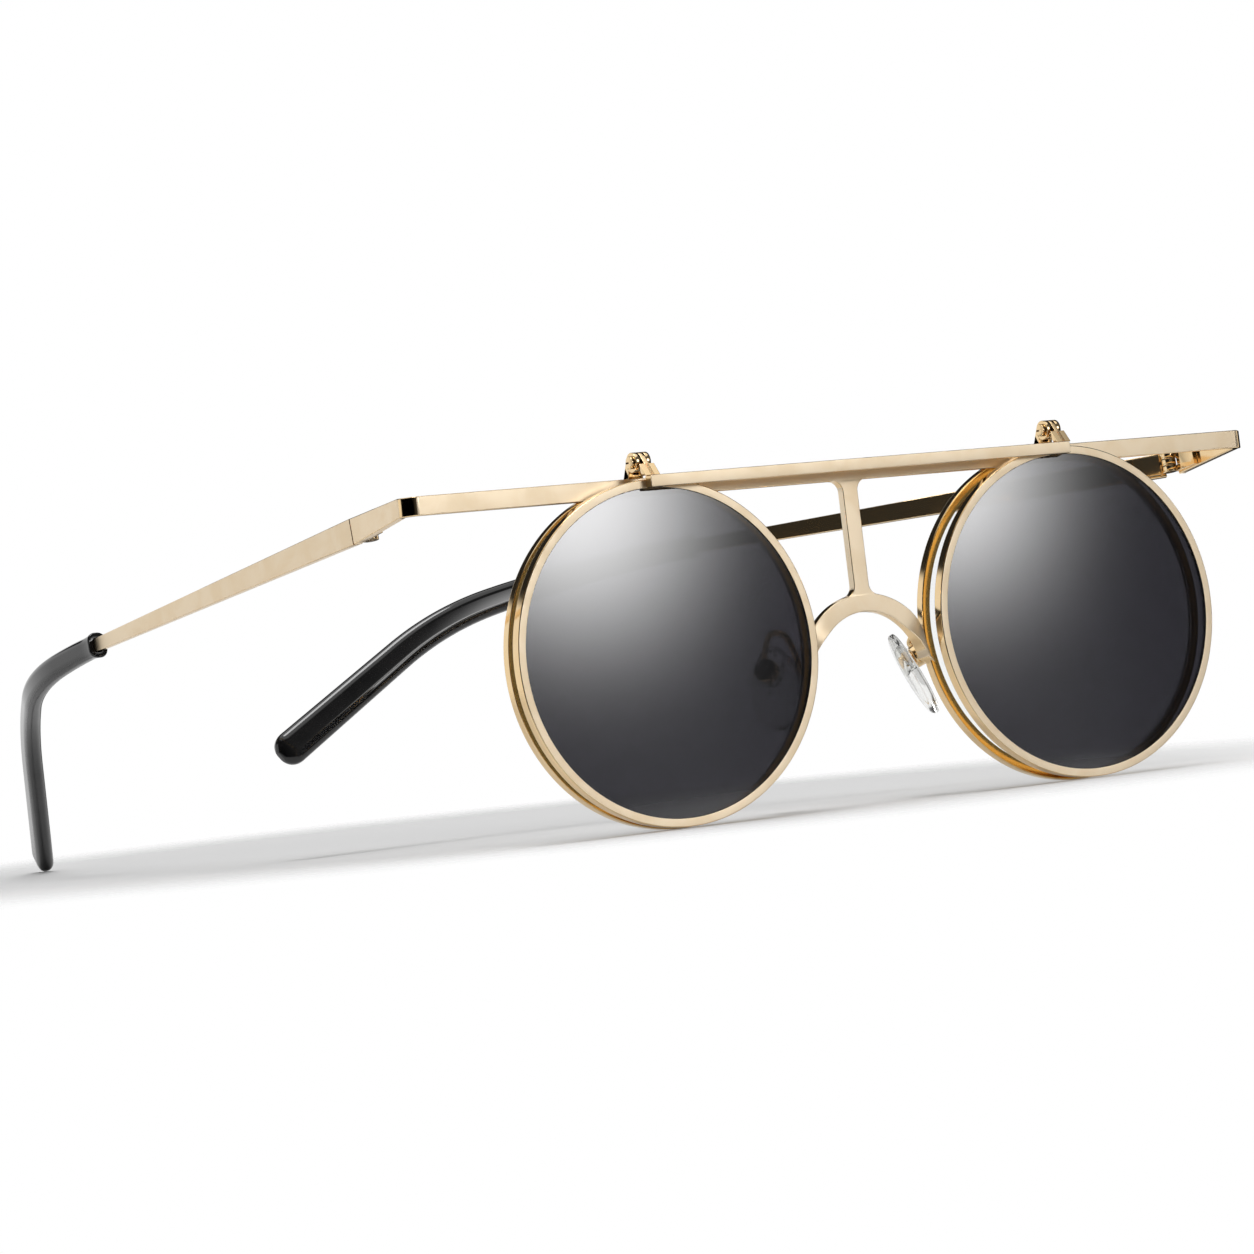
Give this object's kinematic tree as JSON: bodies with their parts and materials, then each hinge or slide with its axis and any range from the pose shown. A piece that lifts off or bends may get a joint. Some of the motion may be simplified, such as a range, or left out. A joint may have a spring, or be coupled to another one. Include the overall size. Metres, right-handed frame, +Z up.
{
  "type": "round flip-up glasses",
  "caption": "Round wire-frame glasses with clear lenses, a dark round front that hinges up on the brow bar, folding temples with black sleeves, and rocking nose pads.",
  "frame": {"origin": "middle of the glasses' outline on the surface they stand on, with the left temple open and the right one half folded", "axes": "+Z up, +Y from the lenses back along the open temple, +X to the right of someone who faces the glasses"},
  "size_m": [0.153, 0.1586, 0.0529],
  "materials": {
    "gold": "polished",
    "screw": "polished",
    "acetate": "gloss",
    "dark_lens": "gloss",
    "clear_lens": "gloss",
    "silicone": "soft gloss"
  },
  "bodies": {
    "frame": {"brow_bar": "gold", "nose_bridge": "gold", "rear_rim_left": "gold", "rear_rim_right": "gold", "rear_lens_left": "clear_lens", "rear_lens_right": "clear_lens", "pad_arm_left": "gold", "pad_arm_right": "gold", "endpiece_hinge_left": "gold", "endpiece_hinge_right": "gold", "temple_hinge_screw_left": "screw", "temple_hinge_screw_right": "screw", "flip_hinge_base_left": "gold", "flip_hinge_base_right": "gold", "flip_hinge_screw_left": "screw", "flip_hinge_screw_right": "screw"},
    "flip_front": {"flip_bar": "gold", "flip_rim_left": "gold", "flip_rim_right": "gold", "dark_lens_left": "dark_lens", "dark_lens_right": "dark_lens", "flip_hinge_leaf_left": "gold", "flip_hinge_leaf_right": "gold"},
    "temple_arm_left": {"temple_left": "gold", "temple_hinge_left": "gold", "temple_tip_left": "acetate"},
    "temple_arm_right": {"temple_right": "gold", "temple_hinge_right": "gold", "temple_tip_right": "acetate"},
    "pad_left": {"nose_pad_left": "silicone", "pad_insert_left": "gold"},
    "pad_right": {"nose_pad_right": "silicone", "pad_insert_right": "gold"}
  },
  "joints": [
    {"name": "flip_front_hinge", "type": "hinge", "parent": "frame", "child": "flip_front", "pos_m": [0.00446, -0.07531, 0.05116], "axis": [-1, 0, 0], "range_deg": [0, 110]},
    {"name": "temple_left_fold", "type": "hinge", "parent": "frame", "child": "temple_arm_left", "pos_m": [-0.06474, -0.05826, 0.04556], "axis": [0, -0.1488, -0.9889], "range_deg": [0, 45]},
    {"name": "temple_right_fold", "type": "hinge", "parent": "frame", "child": "temple_arm_right", "pos_m": [0.07366, -0.05826, 0.04556], "axis": [0, 0.1488, 0.9889], "range_deg": [-67.9, 24.6]},
    {"name": "nose_pad_left_rock", "type": "hinge", "parent": "frame", "child": "pad_left", "pos_m": [-0.00894, -0.06729, 0.02041], "axis": [-0.52, 0.7918, -0.3205], "range_deg": [-10, 10]},
    {"name": "nose_pad_right_rock", "type": "hinge", "parent": "frame", "child": "pad_right", "pos_m": [0.01786, -0.06729, 0.02041], "axis": [0.52, 0.7918, -0.3205], "range_deg": [-10, 10]}
  ]
}
